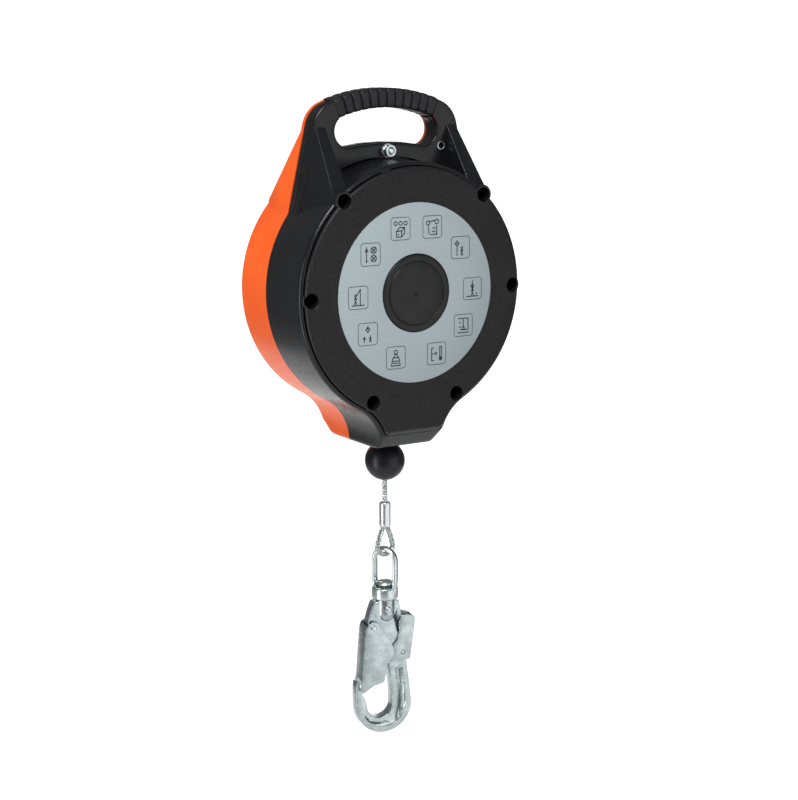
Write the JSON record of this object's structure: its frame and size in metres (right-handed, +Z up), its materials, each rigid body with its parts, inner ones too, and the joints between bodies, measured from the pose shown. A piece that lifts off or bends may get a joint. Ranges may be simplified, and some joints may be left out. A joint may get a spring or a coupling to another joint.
{
  "type": "self retracting lifeline",
  "caption": "Self retracting lifeline: drum housing with carrying handle, wire rope on a spring loaded braked drum, rubber stop ball and swivel snap hook.",
  "frame": {"origin": "underside of the handle grip at its middle, where the anchor connector that holds the unit up bears", "axes": "+Z up along the rope, +Y towards the back cover, +X to the right seen from the label side"},
  "size_m": [0.225, 0.1131, 0.5874],
  "materials": {
    "black_shell": "moulded glass filled plastic, fine grain",
    "orange_shell": "smooth moulded plastic",
    "black_cap": "satin moulded plastic",
    "label_film": "printed pictograms under a matt film",
    "grip_rubber": "ribbed moulded rubber",
    "bumper_rubber": "smooth rubber ball",
    "nylon": "black nylon bush",
    "zinc_steel": "zinc plated forged and pressed steel",
    "dark_steel": "oiled dark steel",
    "wire_rope": "stranded galvanised steel wire",
    "aluminium": "cast and pressed aluminium",
    "bearing_bronze": "sintered bronze",
    "brake_lining": "friction lining",
    "indicator_plastic": "dark green plastic ring"
  },
  "bodies": {
    "housing": {"front_cover": "black_shell", "rear_cover": "orange_shell", "handle_grip": "grip_rubber", "label_ring": "label_film", "hub_cap": "black_cap", "housing_screw_1": "dark_steel", "housing_screw_2": "dark_steel", "housing_screw_3": "dark_steel", "housing_screw_4": "dark_steel", "housing_screw_5": "dark_steel", "housing_screw_6": "dark_steel", "anchor_bolt": "zinc_steel", "anchor_washer": "zinc_steel", "anchor_nut": "zinc_steel", "eyelet_rivet": "zinc_steel", "anchor_strap": "zinc_steel", "spring_case": "dark_steel", "cable_guide": "nylon", "rope_lead_in": "wire_rope", "frame_plate_front": "zinc_steel", "frame_plate_rear": "zinc_steel", "frame_bolt": "zinc_steel", "frame_spacer_front": "zinc_steel", "frame_spacer_rear": "zinc_steel", "main_shaft": "dark_steel", "shaft_nut": "dark_steel", "brake_backing_plate": "dark_steel", "brake_lining_front": "brake_lining", "brake_lining_rear": "brake_lining", "pressure_plate": "dark_steel", "disc_spring": "dark_steel", "brake_nut": "dark_steel"},
    "brake_rotor": {"ratchet_ring": "dark_steel"},
    "drum": {"cable_drum": "aluminium", "wound_rope": "wire_rope", "drum_bush_front": "bearing_bronze", "drum_bush_rear": "bearing_bronze", "spring_arbor": "dark_steel", "power_spring": "dark_steel", "pawl_pin_1": "dark_steel", "pawl_pin_2": "dark_steel"},
    "pawl_1": {"pawl_1": "dark_steel"},
    "pawl_2": {"pawl_2": "dark_steel"},
    "lifeline": {"lifeline_rope": "wire_rope", "ball_bumper": "bumper_rubber", "rope_ferrule": "aluminium", "rope_loop": "wire_rope"},
    "swivel": {"swivel_eye": "zinc_steel"},
    "hook": {"swivel_stem": "zinc_steel", "indicator_ring": "indicator_plastic", "hook_body": "zinc_steel", "boss_rivet": "zinc_steel", "gate_pin": "zinc_steel", "lock_pin": "zinc_steel", "gate_spring": "zinc_steel", "lock_spring": "zinc_steel"},
    "gate": {"gate": "zinc_steel"},
    "lock_lever": {"lock_lever": "zinc_steel"}
  },
  "joints": [
    {"name": "lifeline_payout", "type": "slide", "parent": "housing", "child": "lifeline", "axis": [0, 0, -1], "range_m": [0, 10], "stiffness_N_per_m": 2, "springref_m": -10},
    {"name": "drum_spin", "type": "hinge", "parent": "housing", "child": "drum", "pos_m": [0, 0, -0.1565], "axis": [0, 1, 0], "range_deg": [0, 10270]},
    {"name": "pawl_1_swing", "type": "hinge", "parent": "drum", "child": "pawl_1", "pos_m": [0, -0.033, -0.1125], "axis": [0, -1, 0], "range_deg": [0, 12], "stiffness_Nm_per_rad": 0.004, "springref_deg": -17.19},
    {"name": "pawl_2_swing", "type": "hinge", "parent": "drum", "child": "pawl_2", "pos_m": [0, -0.033, -0.2005], "axis": [0, -1, 0], "range_deg": [0, 12], "stiffness_Nm_per_rad": 0.004, "springref_deg": -17.19},
    {"name": "brake_slip", "type": "hinge", "parent": "housing", "child": "brake_rotor", "pos_m": [0, 0, -0.1565], "axis": [0, 1, 0], "continuous": true},
    {"name": "eye_tilt", "type": "hinge", "parent": "lifeline", "child": "swivel", "pos_m": [0, -0.012, -0.3962], "axis": [0.4067, -0.9136, 0], "range_deg": [-40, 40]},
    {"name": "hook_swivel", "type": "hinge", "parent": "swivel", "child": "hook", "pos_m": [0, -0.012, -0.4425], "axis": [0, 0, 1], "continuous": true},
    {"name": "gate_open", "type": "hinge", "parent": "hook", "child": "gate", "pos_m": [-0.01418, -0.00898, -0.4685], "axis": [-0.2079, -0.9781, 0], "range_deg": [0, 30], "stiffness_Nm_per_rad": 0.12, "springref_deg": -28.65, "deforming": ["gate_spring"]},
    {"name": "lever_press", "type": "hinge", "parent": "hook", "child": "lock_lever", "pos_m": [0.01448, -0.01508, -0.4945], "axis": [-0.2079, -0.9781, 0], "range_deg": [0, 8], "stiffness_Nm_per_rad": 0.08, "springref_deg": -22.92, "deforming": ["lock_spring"]}
  ],
  "couplings": [
    {"joint": "drum_spin", "follows": "lifeline_payout", "rad_per_m": 17.907}
  ]
}
